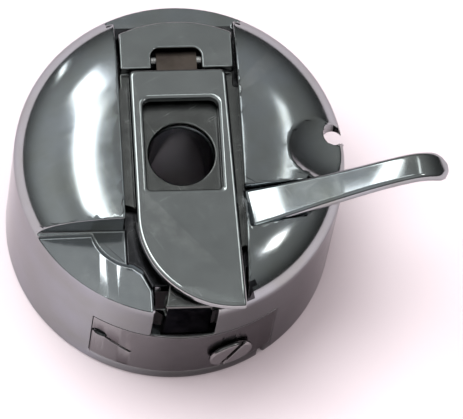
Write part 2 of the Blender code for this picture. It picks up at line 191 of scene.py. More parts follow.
def pickPoints(piece, wanted):
    # selects the points that pass the test, given in millimetres from the case axis
    edit(piece, everything=False)
    bpy.ops.mesh.select_mode(type="VERT")
    leaveEdit()
    for vert in piece.data.vertices:
        vert.select = bool(wanted((vert.co - place(0, 0, 0)) / mm))
    bpy.ops.object.mode_set(mode="EDIT")


def uprightEdges(piece, wanted):
    # selects only the edges that stand upright and pass the test, given in millimetres from the case axis
    edit(piece, everything=False)
    bpy.ops.mesh.select_mode(type="EDGE")
    leaveEdit()
    for item in piece.data.edges:
        a, b = [(piece.data.vertices[i].co - place(0, 0, 0)) / mm for i in item.vertices]
        item.select = abs(a.x - b.x) < 0.01 and abs(a.y - b.y) < 0.01 and bool(wanted(a))
    bpy.ops.object.mode_set(mode="EDIT")


def roundCorner(piece, radius, segments, wanted):
    uprightEdges(piece, wanted)
    bpy.ops.mesh.bevel(offset=radius * mm, segments=segments, affect="EDGES")
    leaveEdit()


def tidyMesh(piece, merge):
    edit(piece)
    bpy.ops.mesh.remove_doubles(threshold=merge * mm)
    bpy.ops.mesh.normals_make_consistent(inside=False)
    return leaveEdit()


def roundEdges(piece, width, segments=3, angle=32, clamp=False):
    step = piece.modifiers.new("roundedEdge", "BEVEL")
    step.width = width * mm
    step.segments = segments
    step.limit_method = "ANGLE"
    step.angle_limit = math.radians(angle)
    step.use_clamp_overlap = clamp
    step.miter_outer = "MITER_ARC"
    applyAll(piece)
    return piece


def smooth(piece, angle=38, crease=None):
    deselectAll()
    piece.select_set(True)
    bpy.context.view_layer.objects.active = piece
    bpy.ops.object.shade_smooth_by_angle(angle=math.radians(angle))
    if crease:
        # shallow folds between these two angles stay crisp
        shape = bmesh.new()
        shape.from_mesh(piece.data)
        for item in shape.edges:
            if len(item.link_faces) == 2 and crease[0] < math.degrees(item.calc_face_angle()) < crease[1]:
                item.smooth = False
        shape.to_mesh(piece.data)
        shape.free()
    step = piece.modifiers.new("flatStaysFlat", "WEIGHTED_NORMAL")
    step.keep_sharp = True
    applyAll(piece)
    return piece


# ---- materials

class Wire:
    # a socket that can stand in a sum
    def __init__(self, board, socket):
        self.board = board
        self.socket = socket

    def reckon(self, operation, first, second):
        return self.board.node("ShaderNodeMath", {"operation": operation}, {0: first, 1: second})

    def __add__(self, other):
        return self.reckon("ADD", self, other)

    __radd__ = __add__

    def __sub__(self, other):
        return self.reckon("SUBTRACT", self, other)

    def __mul__(self, other):
        return self.reckon("MULTIPLY", self, other)


class Board:
    # a node tree whose nodes are all made by one method
    def __init__(self, tree):
        self.tree = tree

    def node(self, kind, settings=None, inputs=None, output=0):
        made = self.tree.nodes.new(kind)
        for key, value in (settings or {}).items():
            if key == "stops":
                ramp = made.color_ramp
                while len(ramp.elements) < len(value):
                    ramp.elements.new(0.5)
                for element, (spot, shade) in zip(ramp.elements, value):
                    element.position = spot
                    tint = shade if isinstance(shade, tuple) else (shade, shade, shade)
                    element.color = (*tint, 1)
            else:
                setattr(made, key, value)
        for key, value in (inputs or {}).items():
            self.feed(made.inputs[key], value)
        return Wire(self, made.outputs[output])

    def feed(self, socket, value):
        if isinstance(value, Wire):
            self.tree.links.new(value.socket, socket)
        else:
            socket.default_value = value

    def axes(self, vector):
        split = self.node("ShaderNodeSeparateXYZ", None, {0: vector}).socket.node
        return [Wire(self, output) for output in split.outputs]


class Finish(Board):
    def __init__(self, name):
        self.material = bpy.data.materials.new(name)
        self.material.use_nodes = True
        super().__init__(self.material.node_tree)
        self.shader = self.tree.nodes["Principled BSDF"]

    def shaderInput(self, name, value):
        self.feed(self.shader.inputs[name], value)

    def noise(self, vector, scale, detail=3.0, rough=0.5):
        return self.node("ShaderNodeTexNoise", {"noise_dimensions": "3D"},
                         {"Vector": vector, "Scale": scale, "Detail": detail, "Roughness": rough})

    def ramp(self, value, stops):
        return self.node("ShaderNodeValToRGB", {"stops": stops}, {0: value})

    def mixColour(self, mask, first, second):
        # sockets 0, 6 and 7 are the factor and the two colours of a colour mix
        return self.node("ShaderNodeMix", {"data_type": "RGBA"}, {0: mask, 6: first, 7: second}, output=2)


def colour(shade):
    return (*shade, 1.0)


def scratches(finish, spot, turn, stretch, thin):
    # long thin noise, thresholded to hair lines
    mapped = finish.node("ShaderNodeMapping", {"vector_type": "TEXTURE"},
                         {"Vector": spot, "Rotation": turn, "Scale": stretch})
    lines = finish.noise(mapped, 1.0, 2.0, 0.6)
    return finish.ramp(lines, [(thin, 0.0), (thin + 0.03, 1.0)])


metalFinishes = {
    # the wall-shade number in platedSteel and springSteel sets how dark the painted shade on the front and
    # lower wall is
    "platedSteel": {"light": (0.40, 0.43, 0.46), "dark": (0.35, 0.37, 0.36), "rough": 0.10, "smudge": 0.05,
                    "grain": 0.03, "worn": (0.66, 0.65, 0.63), "wallShade": 0.62},
    "latchSteel": {"light": (0.40, 0.42, 0.42), "dark": (0.35, 0.37, 0.37), "rough": 0.13, "smudge": 0.05,
                   "grain": 0.05, "worn": (0.68, 0.68, 0.66)},
    "brightSteel": {"light": (0.62, 0.61, 0.60), "dark": (0.48, 0.47, 0.46), "rough": 0.16, "smudge": 0.12,
                    "grain": 0.06, "worn": (0.78, 0.76, 0.72)},
    "springSteel": {"light": (0.36, 0.36, 0.365), "dark": (0.31, 0.31, 0.315), "rough": 0.14, "smudge": 0.10,
                    "grain": 0.05, "worn": (0.62, 0.60, 0.58), "rim": (0.42, 0.40, 0.41), "wallShade": 0.5},
    "screwSteel": {"light": (0.26, 0.255, 0.255), "dark": (0.20, 0.195, 0.195), "rough": 0.13, "smudge": 0.08,
                   "grain": 0.05, "worn": (0.74, 0.73, 0.70)},
    # painted shade colour for the nose over the wall
    "noseShade": {"light": (0.12, 0.12, 0.125), "dark": (0.085, 0.085, 0.09), "rough": 0.12, "smudge": 0.06,
                  "grain": 0.04, "worn": (0.13, 0.13, 0.13), "rim": (0.10, 0.10, 0.10)},
    "groundSteel": {"light": (0.60, 0.63, 0.65), "dark": (0.48, 0.51, 0.53), "rough": 0.11, "smudge": 0.06,
                    "grain": 0.05, "worn": (0.80, 0.80, 0.78)},
    # painted shadow colour for the plate under the lever
    "plateShade": {"light": (0.20, 0.205, 0.20), "dark": (0.15, 0.155, 0.15), "rough": 0.16, "smudge": 0.08,
                   "grain": 0.05, "worn": (0.50, 0.50, 0.50), "rim": (0.30, 0.30, 0.30)},
    # painted shade colour for the channel beside the latch
    "channelShade": {"light": (0.07, 0.07, 0.075), "dark": (0.045, 0.045, 0.05), "rough": 0.16, "smudge": 0.08,
                     "grain": 0.04, "worn": (0.50, 0.50, 0.50), "rim": (0.15, 0.15, 0.15)},
    # painted shade colour for the knuckle in the hinge notch
    "knuckleShade": {"light": (0.13, 0.105, 0.09), "dark": (0.06, 0.048, 0.042), "rough": 0.34, "smudge": 0.16,
                   "grain": 0.08, "worn": (0.20, 0.17, 0.15)},
}


# shared by every metal: scale, detail and roughness of each noise,
# then turn, stretch and threshold of the hair lines
metalDetail = {
    "clouds": (260.0, 4.0, 0.55), "smears": (900.0, 5.0, 0.62), "specks": (5200.0, 3.0, 0.6),
    "hairA": ((0.2, 0.1, 0.5), (0.006, 0.00005, 0.0022), 0.66),
    "hairB": ((0.1, 0.3, -1.0), (0.005, 0.00004, 0.0018), 0.67),
    "hairTone": 0.12, "hairRough": 0.06, "speckRough": 0.03, "wearTone": 0.2,
    # the last number sets how quickly the painted wall shade fades in
    "rim": (0.60, 0.58, 0.60), "reliefDepth": 0.000004, "wallShadeSpread": 50.0,
}


def paintedWallShade(finish, spot, tone, look):
    # painted shade: the front and lower part of the wall is darkened in colour where it mirrors the shadowed
    # floor
    across, ahead, high = finish.axes(spot)
    spread = metalDetail["wallShadeSpread"]
    front = (across - axisX) * 0.8 - (ahead - axisY) * 0.9
    front = finish.ramp(front * spread, [(0.2, 0.0), (0.5, 1.0)])
    low = finish.ramp(high * spread, [(0.57, 1.0), (0.63, 0.0)])
    shade = tuple(part * (1 - look["wallShade"]) for part in look["dark"])
    return finish.mixColour(front * low, tone, colour(shade))


def metalFinish(name):
    look, detail = metalFinishes[name], metalDetail
    finish = Finish(name)
    spot = finish.node("ShaderNodeTexCoord", output=3)   # Object
    clouds = finish.noise(spot, *detail["clouds"])
    smears = finish.noise(spot, *detail["smears"])
    specks = finish.noise(spot, *detail["specks"])
    hairA = scratches(finish, spot, *detail["hairA"])
    hairB = scratches(finish, spot, *detail["hairB"])
    hair = finish.node("ShaderNodeMath", {"operation": "MAXIMUM"}, {0: hairA, 1: hairB})
    pointy = finish.node("ShaderNodeNewGeometry", output=7)   # Pointiness
    edge = finish.ramp(pointy, [(0.53, 0.0), (0.62, 1.0)])
    wear = edge * finish.ramp(smears, [(0.38, 0.15), (0.62, 1.0)])
    patches = finish.ramp(clouds, [(0.32, 0.0), (0.68, 1.0)])
    tone = finish.mixColour(patches, colour(look["dark"]), colour(look["light"]))
    # painted shade darkens the front and lower wall
    if "wallShade" in look:
        tone = paintedWallShade(finish, spot, tone, look)
    worn = colour(look["worn"])
    marked = finish.mixColour(hair * detail["hairTone"], tone, worn)
    finish.shaderInput("Base Color", finish.mixColour(wear * detail["wearTone"], marked, worn))
    finish.shaderInput("Metallic", 1.0)
    finish.shaderInput("Specular Tint", colour(look.get("rim", detail["rim"])))
    smudge = finish.ramp(smears, [(0.40, 0.0), (0.75, 1.0)]) * look["smudge"]
    rough = look["rough"] + smudge + hair * detail["hairRough"] + specks * detail["speckRough"]
    finish.shaderInput("Roughness", rough)
    height = specks * 0.6 + smears * 0.15 - hair * 0.3
    relief = {"Strength": look["grain"], "Distance": detail["reliefDepth"], "Height": height}
    finish.shaderInput("Normal", finish.node("ShaderNodeBump", None, relief))
    return finish.material


print("materials")
materials = {name: metalFinish(name) for name in metalFinishes}


def finishPiece(piece, body, nodes, finishName):
    piece.data.materials.clear()
    piece.data.materials.append(materials[finishName])
    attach(piece, body)
    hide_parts(*nodes)
    return piece


# ---- finger: a bar along x, lifted slice by slice, shared by the finger and the groove it lies in

finger = {
    "rootX": 4.3, "rootY": -4.45, "reach": 18.45, "turn": 9.5, "thick": 1.0, "slices": 44,
    "rootWidth": 2.95, "waistWidth": 2.05, "tipWidth": 2.0, "rootZ": 14.32, "edge": 0.34,
    # slope of the top along the finger: lying at the root, climbing, level, curled down
    "slopes": [(0.0, 1.8), (0.1, 2.1), (0.2, 3.4), (0.6, 3.55), (0.73, 2.3), (0.80, 1.2), (0.86, -3.0),
               (0.92, -8.0), (1.0, -13.0)],
}


def fingerTop(run):
    height = finger["rootZ"]
    for (start, first), (end, last) in zip(finger["slopes"], finger["slopes"][1:]):
        part = min(max(run - start, 0.0), end - start)
        height += part * (first + (last - first) * part / (end - start) / 2)
    return height


def fingerWidth(run):
    taper = finger["rootWidth"] + (finger["tipWidth"] - finger["rootWidth"]) * run
    waist = (finger["waistWidth"] - (finger["rootWidth"] + finger["tipWidth"]) / 2) * math.sin(math.pi * run)
    length = finger["reach"] - finger["rootX"]
    end = max(0.0, (run * length - length + 0.95) / 0.95)
    return (taper + waist) * math.sqrt(max(0.0, 1 - 0.86 * end * end))


def fingerBar(name, gap=0.0, headroom=0.0):
    length = finger["reach"] - finger["rootX"]
    half = 0.5
    bar = addBox(name, (finger["rootX"] - gap, finger["rootY"] - half, 0),
                 (finger["reach"], finger["rootY"] + half, 1))
    for i in range(1, finger["slices"]):
        edit(bar)
        x = finger["rootX"] + length * i / finger["slices"]
        bpy.ops.mesh.bisect(plane_co=place(x, 0, 0), plane_no=(1, 0, 0))
        leaveEdit()
    stations = sorted({round(((v.co - place(0, 0, 0)) / mm).x, 4) for v in bar.data.vertices})
    for x in stations:
        run = max(0.0, (x - finger["rootX"]) / length)
        middle = place(x, finger["rootY"], 0)
        pickPoints(bar, lambda s, x=x: abs(s.x - x) < 0.01)
        bpy.ops.transform.resize(value=(1, fingerWidth(run) + 2 * gap, 1), center_override=middle)
        bpy.ops.mesh.select_all(action="DESELECT")
        leaveEdit()
        pickPoints(bar, lambda s, x=x: abs(s.x - x) < 0.01 and s.z < 0.5)
        bpy.ops.transform.translate(value=(0, 0, (fingerTop(run) - finger["thick"] - gap) * mm))
        leaveEdit()
        pickPoints(bar, lambda s, x=x: abs(s.x - x) < 0.01 and 0.5 < s.z < 1.5)
        bpy.ops.transform.translate(value=(0, 0, (fingerTop(run) - 1 + headroom) * mm))
        leaveEdit()
    root = place(finger["rootX"], finger["rootY"], 0)
    turn = Matrix.Rotation(math.radians(finger["turn"]), 4, "Z")
    bar.matrix_world = Matrix.Translation(root) @ turn @ Matrix.Translation(-root)
    deselectAll()
    bar.select_set(True)
    bpy.context.view_layer.objects.active = bar
    return freeze(name)


# ---- cup

cup = {
    "spinSteps": 180, "domeRings": 26, "wallTop": 12.0, "innerR": 10.6, "roomDepth": 11.8, "holeR": 2.95,
    "lip": 0.15, "roomCorner": 0.3, "above": 17, "edge": 0.11,
    "channelHalf": 4.15, "channelFloor": 12.85, "mouthHalf": 4.7, "mouthY": 9.9,
    "guideHalf": 4.6, "guideTop": 13.6, "guideEnd": 9.7, "leftGuideY": -4.9, "rightGuideY": -8.2,
    "stepZ": 12.5, "stepY": -5.2, "pocketR": 11.46, "pocketFloor": 12.15,
    "facets": [(-9.5, 0.0), (-5.9, -0.04), (-5.35, 0.04), (-4.75, 0.0), (-4.35, 0.06), (-1.9, 0.03)],
    "notch": (-2.3, 2.1), "notchZ": 8.15, "notchY": -9.5,
    "scoop": (12.95, -0.1, 21.4), "scoopR": 8.6, "scoopNarrow": 0.72,
    "scoopHoleR": 0.72, "scoopHole": (10.82, 7),
    "windowX": 9.5, "windowY": (-0.3, 5.2), "windowZ": (2.4, 11.9), "slit": (-60, -57.6), "slitTop": 5,
    "stopPinY": -4.85, "stopPinR": 0.48, "bossHalf": 1.2, "bossY": (6.1, 6.45), "bossZ": (12.5, 13.2),
}


def domePoints():
    # a flattened dome: (r/R)^4 + (z/h)^2 = 1
    height = cupTop - cup["wallTop"]
    start = math.asin((cup["holeR"] / cupRadius) ** 2)
    points = []
    for i in range(cup["domeRings"] + 1):
        turn = start + (math.pi / 2 - start) * i / cup["domeRings"]
        points.append((cupRadius * math.sqrt(math.sin(turn)), 0, cup["wallTop"] + height * math.cos(turn)))
    return points


def cupPocket():
    outline = arcPoints((0, 0), cup["pocketR"], -151.5, -102, 28)
    outline += [(-2.4, -9.6), (-3.0, -8.3)]
    outline += arcPoints((-3.2, -4.6), 3.25, 262, 194, 16)
    hollow = addSlab("pocket", outline, cup["pocketFloor"], 14)
    # the floor of the pocket is ground in shallow facets that run along y
    for facet in cup["facets"][1:-1]:
        edit(hollow)
        bpy.ops.mesh.bisect(plane_co=place(facet[0], 0, 0), plane_no=(1, 0, 0))
        leaveEdit()
    for vert in hollow.data.vertices:
        spot = (vert.co - place(0, 0, 0)) / mm
        if spot.z < cup["pocketFloor"] + 0.01:
            for (x1, lift1), (x2, lift2) in zip(cup["facets"], cup["facets"][1:]):
                if x1 <= spot.x <= x2:
                    vert.co.z += (lift1 + (lift2 - lift1) * (spot.x - x1) / (x2 - x1)) * mm
                    break
    return hollow


def latchCutters(far):
    # channel, mouth, the guides on both sides, and the step on the left
    floor, half, guide, above = (cup[key] for key in ("channelFloor", "channelHalf", "guideHalf", "above"))
    mouth, end, top = cup["mouthHalf"], cup["guideEnd"], cup["guideTop"]
    return [
        addBox("channel", (-half, -far, floor), (half, far, above)),
        addBox("mouth", (-mouth, cup["mouthY"], floor), (mouth, far, above)),
        addBox("left_guide", (-guide, cup["leftGuideY"], floor), (0, end, top)),
        addBox("right_guide", (0, cup["rightGuideY"], floor), (guide, end, top)),
        addBox("step", (-far, -far, cup["stepZ"]), (-half + 0.1, cup["stepY"], above)),
    ]


def wallCutters(far):
    # the leaf's seat, the screw's hole and the slit that the thread is led in by
    gap = 0.12
    seat = arcPoints((0, 0), far, leaf["left"] - gap, leaf["right"] + gap, 60)
    seat += arcPoints((0, 0), leaf["innerR"] - 0.03, leaf["right"] + gap, leaf["left"] - gap, 60)
    turn, z = screw["turn"], screw["z"]
    first, last = cup["slit"]
    slit = arcPoints((0, 0), far, first, last, 3) + arcPoints((0, 0), 10, last, first, 3)
    return [
        addSlab("leaf_seat", seat, leaf["bottom"] - 0.025, leaf["top"] + 0.025),
        addRod("screw_hole", screw["shankR"] + 0.05, around(10, turn, z), around(far, turn, z), 32),
        addSlab("thread_slit", slit, -1, cup["slitTop"]),
    ]


def pinCutters():
    pinY = cup["stopPinY"]
    cutters = [addRod("stop_pin_hole", cup["stopPinR"], (0, pinY, 11), (0, pinY, 14), 32)]
    for rivet in ("finger_rivet_front", "finger_rivet_rear"):
        low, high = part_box(rivet)
        middle = ((low + high) / 2 - place(0, 0, 0)) / mm
        radius = (high.x - low.x) / 2 / mm + 0.03
        start, end = (middle.x, middle.y, 11), (middle.x, middle.y, 14.2)
        cutters.append(addRod(rivet + "_hole", radius, start, end, 32))
    return cutters


def paintCup(piece):
    floor, half = cup["channelFloor"], cup["channelHalf"]
    # painted shade: the channel beside the latch and the step behind it get a near-black colour where shade
    # falls between the parts
    piece.data.materials.append(materials["channelShade"])
    # the pocket's floor is ground bare
    piece.data.materials.append(materials["groundSteel"])
    for face in piece.data.polygons:
        spot = (face.center - place(0, 0, 0)) / mm
        sideways = cup["guideHalf"] if spot.z < cup["guideTop"] + 0.05 else cup["channelHalf"]
        inChannel = abs(spot.x) < sideways + 0.02 and floor - 0.3 < spot.z < 16 and spot.y < 6.3
        onStep = spot.x < -half + 0.02 and spot.y < cup["stepY"] + 0.1
        steep = face.normal.z < 0.97 and abs(face.normal.y) < 0.9
        if inChannel and (spot.z < floor + 0.1 or steep and not onStep):
            face.material_index = 1
        if face.normal.z > 0.9 and abs(spot.z - cup["pocketFloor"]) < 0.12 and spot.x < cup["notch"][0]:
            face.material_index = 2


def buildCup():
    lip, inside, deep, corner = cup["lip"], cup["innerR"], cup["roomDepth"], cup["roomCorner"]
    wall = [(cupRadius, 0, z) for z in (8, 4, lip)]
    rim = [(cupRadius - lip, 0, 0), (inside + lip, 0, 0), (inside, 0, lip)]
    room = [(inside, 0, deep - corner), (inside - corner, 0, deep), (cup["holeR"], 0, deep)]
    profile = domePoints() + wall + rim + room
    piece = addPath("case_cup", profile + profile[:1])
    spinRound(piece, cup["spinSteps"])
    far = cupRadius + 1
    tools = latchCutters(far)
    tools.append(cupPocket())
    left, right = cup["notch"]
    tools.append(addBox("nose_notch", (left, -far, cup["notchZ"]), (right, cup["notchY"], 14)))
    deselectAll()
    bpy.ops.mesh.primitive_uv_sphere_add(segments=96, ring_count=64, radius=cup["scoopR"] * mm,
                                         location=place(*cup["scoop"]), scale=(1, cup["scoopNarrow"], 1))
    tools.append(freeze("scoop"))
    radius, degrees = cup["scoopHole"]
    start, end = around(radius, degrees, 11), around(radius, degrees, 14)
    tools.append(addRod("scoop_hole", cup["scoopHoleR"], start, end, 40))
    (nearY, farY), (lowZ, highZ) = cup["windowY"], cup["windowZ"]
    tools.append(addBox("wall_window", (cup["windowX"], nearY, lowZ), (far, farY, highZ)))
    tools.append(fingerBar("finger_groove", 0.05, 4.0))
    tools += wallCutters(far) + pinCutters()
    for tool in tools:
        combine(piece, tool)
    boss, (nearY, farY), (lowZ, highZ) = cup["bossHalf"], cup["bossY"], cup["bossZ"]
    combine(piece, addBox("cam_boss", (-boss, nearY, lowZ), (boss, farY, highZ)), "UNION")
    tidyMesh(piece, 0.015)
    roundEdges(piece, cup["edge"], 3, 25)
    smooth(piece)
    finishPiece(piece, "case", ["case_body"], "platedSteel")
    paintCup(piece)
    return piece


# ---- spindle tube

tube = {"outerR": 2.9, "boreR": 2.3, "startZ": 0.8, "endZ": 12.83, "chamfer": 0.2}


def buildTube():
    outer, bore, low, high, cut = (tube[key] for key in ("outerR", "boreR", "startZ", "endZ", "chamfer"))
    profile = [(outer, 0, high - cut / 2), (outer, 0, low + cut), (outer - cut, 0, low)]
    profile += [(bore + cut / 2, 0, low), (bore, 0, low + cut / 2), (bore, 0, high - cut)]
    profile += [(bore + cut, 0, high), (outer - cut / 2, 0, high)]
    piece = addPath("spindle_tube", profile + profile[:1])
    spinRound(piece, 120)
    roundEdges(piece, 0.04, 2)
    smooth(piece)
    return finishPiece(piece, "case", ["centre_tube"], "platedSteel")


def buildFinger():
    piece = fingerBar("finger_bar")
    roundEdges(piece, finger["edge"], 5, 50)
    smooth(piece, 30)
    return finishPiece(piece, "case", ["position_finger"], "platedSteel")


# ---- latch slide: plate with a raised head at the hinge and a nose that hangs over the wall

slide = {
    "bottom": 12.9, "top": 13.55, "headTop": 14.4, "headHalf": 3.95, "headY": 6.1, "headR": 9.6,
    "guideHalf": 4.5, "guideEnd": 5.0, "leftGuideY": -3.6, "rightGuideY": -7.0, "cornerY": 8.6,
    "tailCentre": (3.8, -4.55), "tailR": 7.0, "boreR": 2.3, "boreX": 0.06, "edge": 0.13,
    "nose": (-1.65, 1.7), "noseZ": 8.4, "noseY": -11.3, "noseThick": 0.7, "noseEdge": 0.2,
    "notchHalf": 1.75, "notchY": (5.1, 7.64), "notchCorner": 0.55, "slotHalf": 0.65, "slotY": (-8.6, -4.37),
}
hinge = {"y": 6.9, "z": 13.75, "pinR": 0.35, "gap": 0.03, "knuckleR": 0.62, "knuckleHalf": 1.4}


def slideOutline():
    half, guide, corner, end = slide["headHalf"], slide["guideHalf"], slide["cornerY"], slide["guideEnd"]
    left, right = slide["nose"]
    outline = [(half, corner)] + arcPoints((0, 0), slide["headR"], 90 - 24.3, 90 + 24.3, 40)
    outline += [(-half, corner), (-half, end), (-guide, end), (-guide, slide["leftGuideY"]), (-3.2, -4.0)]
    outline += arcPoints(slide["tailCentre"], slide["tailR"], 180, 224, 20)
    outline += [(left, slide["noseY"]), (right, slide["noseY"]), (right, -9.4), (half, -9.0)]
    outline += [(half, slide["rightGuideY"]), (guide, slide["rightGuideY"]), (guide, end), (half, end)]
    return outline


def pinHole():
    y, z = hinge["y"], hinge["z"]
    return addRod("pin_hole", hinge["pinR"] + hinge["gap"], (-5, y, z), (5, y, z), 40)


def paintSlide(piece):
    # painted shade: the nose that hangs over the wall gets a near-black colour for the shade it sits in and
    # mirrors, and the plate under the lever a darker colour for the lever's shadow
    piece.data.materials.append(materials["noseShade"])
    piece.data.materials.append(materials["plateShade"])
    for face in piece.data.polygons:
        spot = (face.center - place(0, 0, 0)) / mm
        if spot.z < slide["bottom"] - 0.1:
            face.material_index = 1
        elif spot.z < slide["top"] + 0.03 and spot.y < slide["headY"]:
            face.material_index = 2


def buildSlide():
    half = slide["headHalf"]
    left, right = slide["nose"]
    piece = addSlab("slide_plate", slideOutline(), slide["bottom"], slide["top"])
    head = [(half, slide["headY"])] + arcPoints((0, 0), slide["headR"], 90 - 24.2, 90 + 24.2, 40)
    head += [(-half, slide["headY"])]
    combine(piece, addSlab("head", head, slide["top"] - 0.2, slide["headTop"]), "UNION")
    noseBack = slide["noseY"] + slide["noseThick"]
    nose = addBox("nose", (left, slide["noseY"], slide["noseZ"]), (right, noseBack, slide["top"] - 0.1))
    roundEdges(nose, slide["noseEdge"], 3)
    combine(piece, nose, "UNION")
    combine(piece, addRod("bore", slide["boreR"], (slide["boreX"], 0, 12), (slide["boreX"], 0, 15), 120))
    notchHalf, (notchNear, notchFar) = slide["notchHalf"], slide["notchY"]
    notch = addBox("knuckle_notch", (-notchHalf, notchNear, 12), (notchHalf, notchFar, 15))
    pickEdges(notch, lambda s: s.y > 7)
    leaveEdit()
    for edgeItem in notch.data.edges:
        first, last = (notch.data.vertices[i].co.z for i in edgeItem.vertices)
        edgeItem.select = edgeItem.select and abs(first - last) > 1 * mm
    bpy.ops.object.mode_set(mode="EDIT")
    bpy.ops.mesh.bevel(offset=slide["notchCorner"] * mm, segments=8, affect="EDGES")
    leaveEdit()
    combine(piece, notch)
    slotHalf, (slotNear, slotFar) = slide["slotHalf"], slide["slotY"]
    combine(piece, addBox("spring_slot", (-slotHalf, slotNear, 12), (slotHalf, slotFar, 15)))
    combine(piece, pinHole())
    tidyMesh(piece, 0.008)
    roundEdges(piece, slide["edge"], 3, 40)
    smooth(piece)
    finishPiece(piece, "slide", ["latch_slide"], "latchSteel")
    paintSlide(piece)
    return piece


# ---- latch lever

lever = {
    "bottom": 14.0, "top": 14.71, "left": -3.4, "right": 3.4, "hingeY": 5.9, "tipX": 3.9, "tipY": -11.75,
    "bigCorner": 6.65, "corner": 0.5, "edge": 0.2, "rimWide": 0.27, "rimDrop": 0.045,
    "foldY": -10.3, "foldDrop": 0.14, "crease": (6.5, 13),
    "windowX": 0.08, "windowHalf": 2.6, "windowY": (-3.1, 3.7), "windowCorner": 0.6, "windowFoot": 0.3,
}


def windowCorners(cutter):
    roundCorner(cutter, lever["windowCorner"], 10, lambda s: s.y > 3)
    roundCorner(cutter, lever["windowFoot"], 6, lambda s: s.y < -3)


def buildLever():
    piece = addBox("lever_plate", (lever["left"], lever["tipY"], lever["bottom"]),
                   (lever["right"], lever["hingeY"], lever["top"]))
    roundCorner(piece, lever["corner"], 8, lambda s: s.y > 5)
    roundCorner(piece, lever["bigCorner"], 48, lambda s: s.x < 0 and s.y < -11)
    pickPoints(piece, lambda s: s.x > 3.3 and s.y < -11)
    bpy.ops.transform.translate(value=((lever["tipX"] - lever["right"]) * mm, 0, 0))
    leaveEdit()
    edit(piece)
    bpy.ops.mesh.bisect(plane_co=place(0, lever["foldY"], 0), plane_no=(0, 1, 0))
    leaveEdit()
    # a shallow bright rim runs round the top
    edit(piece, everything=False)
    bpy.ops.mesh.select_mode(type="FACE")
    leaveEdit()
    for face in piece.data.polygons:
        face.select = face.normal.z > 0.9
    bpy.ops.object.mode_set(mode="EDIT")
    bpy.ops.mesh.inset(thickness=lever["rimWide"] * mm, depth=lever["rimDrop"] * mm)
    leaveEdit()
    reach = lever["foldY"] - lever["tipY"]
    for vert in piece.data.vertices:
        # beyond the fold the tip leans down a little
        spot = (vert.co - place(0, 0, 0)) / mm
        if spot.y < lever["foldY"]:
            vert.co.z -= lever["foldDrop"] * mm * (lever["foldY"] - spot.y) / reach
    low, high = lever["windowY"]
    half = lever["windowHalf"]
    window = addBox("lever_window", (lever["windowX"] - half, low, 13), (lever["windowX"] + half, high, 16))
    windowCorners(window)
    combine(piece, window)
    # the same rim round the window, cut with a flared copy of its outline
    top, rim, drop = lever["top"] + lever["rimDrop"], lever["rimWide"], lever["rimDrop"]
    foot = 0.03
    flare = addBox("window_rim", (lever["windowX"] - half + foot, low + foot, top - drop * 1.1),
                   (lever["windowX"] + half - foot, high - foot, top + drop))
    windowCorners(flare)
    pickPoints(flare, lambda s: s.z > top)
    long = (high - low) / 2
    bpy.ops.transform.resize(value=((half + 2 * rim) / half, (long + 2 * rim) / long, 1),
                             center_override=place(lever["windowX"], (low + high) / 2, top + drop))
    leaveEdit()
    roundEdges(piece, lever["edge"], 4, 40)
    combine(piece, flare)
    middle, y, z = hinge["knuckleHalf"], hinge["y"], hinge["z"]
    tongue = addBox("tongue", (-middle, lever["hingeY"] - 0.4, 13.78), (middle, y, z + hinge["knuckleR"]))
    combine(tongue, addRod("knuckle", hinge["knuckleR"], (-middle, y, z), (middle, y, z), 64), "UNION")
    combine(tongue, addBox("heel", (-1.0, y - 0.32, z - 0.78), (1.0, y + 0.32, z)), "UNION")
    combine(piece, tongue, "UNION")
    combine(piece, pinHole())
    smooth(piece, crease=lever["crease"])
    finishPiece(piece, "lever", ["latch_lever"], "latchSteel")
    # painted shade: the knuckle in the hinge notch gets a dark brownish colour where shade falls in the notch
    piece.data.materials.append(materials["knuckleShade"])
    for face in piece.data.polygons:
        if (face.center.y - axisY) / mm > lever["hingeY"] + 0.02:
            face.material_index = 1
    return piece


# ---- tension leaf and its screw on the wall

leaf = {
    "innerR": 11.28, "thick": 0.24, "left": -122.5, "right": -55.0, "bottom": 1.4, "top": 7.9,
    "eye": (-119.5, 5.6), "eyeR": 0.55, "tail": (-107.5, 4.1), "slit": 0.32, "edge": 0.05,
}
screw = {
    "turn": -72.5, "z": 4.1, "headR": 1.6, "headThick": 0.36, "shankR": 0.6, "slotWide": 0.42, "slotTurn": -27,
}


def buildLeaf():
    start = around(leaf["innerR"], leaf["left"], leaf["top"])
    end = around(leaf["innerR"], leaf["left"], leaf["bottom"])
    piece = addPath("tension_leaf", [start, end])
    spinRound(piece, 80, leaf["right"] - leaf["left"])
    # the wall gets its thickness away from the axis
    outward = piece.data.polygons[0].center - place(0, 0, 0)
    outward.z = 0
    facing = 1 if piece.data.polygons[0].normal.dot(outward) > 0 else -1
    step = piece.modifiers.new("thickness", "SOLIDIFY")
    step.thickness = leaf["thick"] * mm
    step.offset = facing
    applyAll(piece)
    edit(piece)
    bpy.ops.mesh.normals_make_consistent(inside=False)
    leaveEdit()
    (turnA, zA), (turnB, zB) = leaf["eye"], leaf["tail"]
    combine(piece, addRod("eye", leaf["eyeR"], around(10.8, turnA, zA), around(12.5, turnA, zA), 40))
    first, last = place(*around(11.4, turnA, zA)), place(*around(11.4, turnB, zB))
    run = last - first
    deselectAll()
    bpy.ops.mesh.primitive_cube_add(size=1, location=(first + last) / 2,
                                    scale=(run.length, 1.6 * mm, leaf["slit"] * mm),
                                    rotation=run.to_track_quat("X", "Z").to_euler())
    combine(piece, freeze("eye_slit"))
    turn, z = screw["turn"], screw["z"]
    near, far = around(10.8, turn, z), around(12.5, turn, z)
    combine(piece, addRod("leaf_hole", screw["shankR"] + 0.1, near, far, 32))
    tidyMesh(piece, 0.01)
    roundEdges(piece, leaf["edge"], 2, 40)
    smooth(piece)
    return finishPiece(piece, "case", ["tension_spring"], "springSteel")


